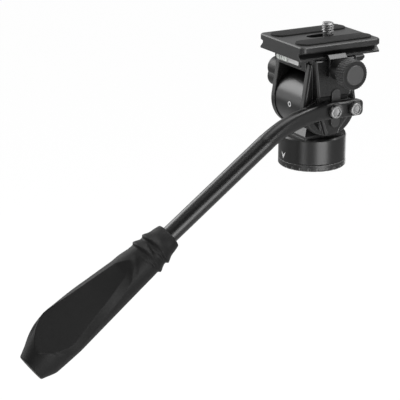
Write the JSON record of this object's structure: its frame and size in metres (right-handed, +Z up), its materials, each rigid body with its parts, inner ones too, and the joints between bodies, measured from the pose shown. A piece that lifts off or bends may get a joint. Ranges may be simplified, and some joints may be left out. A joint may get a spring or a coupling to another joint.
{
  "type": "fluid video head",
  "caption": "Compact fluid video head: notched round pan base, tilt drum between cradle cheeks, dovetail quick-release plate with side clamp knob, and a bent pan handle with a long rubber grip.",
  "frame": {"origin": "middle of the base's underside on the pan axis, at the mouth of the tripod socket", "axes": "+Z up along the pan axis, +Y forward toward the lens, +X along the tilt axis toward the handle's side"},
  "size_m": [0.0682, 0.204, 0.1504],
  "materials": {
    "body_paint": "satin black paint on cast metal",
    "arm_paint": "smooth satin black paint",
    "plate_anodised": "dark grey anodised, bright worn bevels",
    "knob_plastic": "matte black moulded",
    "grip_rubber": "soft matte black",
    "strip_rubber": "fine grained black",
    "bright_steel": "bright turned",
    "axle_steel": "ground",
    "bearing_brass": "turned",
    "drag_plastic": "natural nylon",
    "vial_glass": "clear, slightly green",
    "level_metal": "plain"
  },
  "bodies": {
    "base": {"base_ring": "body_paint", "pan_axle": "axle_steel", "thread_insert": "bearing_brass", "pan_drag_plate": "axle_steel", "pan_nut": "axle_steel"},
    "pan_body": {"pan_housing": "body_paint", "pan_bush": "bearing_brass", "pan_drag_ring": "drag_plastic", "drum_cap_left": "body_paint", "drum_cap_right": "body_paint", "tilt_bush_left": "bearing_brass", "tilt_bush_right": "bearing_brass", "tilt_stator_left": "drag_plastic", "tilt_stator_right": "drag_plastic"},
    "cradle": {"cheek_left": "body_paint", "cheek_right": "body_paint", "platform": "body_paint", "cradle_screws": "bright_steel", "tilt_axle": "axle_steel", "tilt_rotor": "axle_steel", "axle_cap": "body_paint", "axle_cover": "body_paint", "handle_arm": "arm_paint", "handle_bolts": "bright_steel", "grip": "grip_rubber", "level_vial": "vial_glass", "level_plate": "level_metal"},
    "jaw": {"clamp_jaw": "plate_anodised", "jaw_pins": "axle_steel"},
    "clamp": {"clamp_knob": "knob_plastic", "knob_cap": "knob_plastic", "clamp_screw": "axle_steel"},
    "brake": {"brake_pad": "drag_plastic"},
    "lock": {"lock_knob": "knob_plastic", "lock_stud": "axle_steel"},
    "plate": {"release_plate": "plate_anodised", "strip_left": "strip_rubber", "strip_right": "strip_rubber"},
    "screw_carriage": {"screw_washer": "bright_steel"},
    "screw": {"camera_screw": "bright_steel"}
  },
  "joints": [
    {"name": "pan", "type": "hinge", "parent": "base", "child": "pan_body", "pos_m": [0, 0, 0.005], "axis": [0, 0, 1], "continuous": true},
    {"name": "tilt", "type": "hinge", "parent": "pan_body", "child": "cradle", "pos_m": [0, 0, 0.034], "axis": [1, 0, 0], "range_deg": [-90, 75]},
    {"name": "jaw_travel", "type": "slide", "parent": "cradle", "child": "jaw", "axis": [1, 0, 0], "range_m": [0, 0.003]},
    {"name": "clamp_turn", "type": "hinge", "parent": "jaw", "child": "clamp", "pos_m": [0.023, -0.0004, 0.055], "axis": [1, 0, 0], "range_deg": [0, 1080]},
    {"name": "brake_travel", "type": "slide", "parent": "cradle", "child": "brake", "axis": [-1, 0, 0], "range_m": [0, 0.0009375]},
    {"name": "lock_turn", "type": "hinge", "parent": "brake", "child": "lock", "pos_m": [-0.02, 0, 0.0438], "axis": [-1, 0, 0], "range_deg": [0, 270]},
    {"name": "plate_slide", "type": "slide", "parent": "cradle", "child": "plate", "axis": [0, 1, 0], "range_m": [-0.02, 0.02]},
    {"name": "screw_slide", "type": "slide", "parent": "plate", "child": "screw_carriage", "axis": [0, 1, 0], "range_m": [-0.0091, 0]},
    {"name": "screw_turn", "type": "hinge", "parent": "screw_carriage", "child": "screw", "pos_m": [0, 0.008, 0.064], "axis": [0, 0, 1], "continuous": true}
  ],
  "couplings": [
    {"joint": "clamp_turn", "follows": "jaw_travel", "rad_per_m": 6283.2},
    {"joint": "lock_turn", "follows": "brake_travel", "rad_per_m": 5026.5}
  ]
}
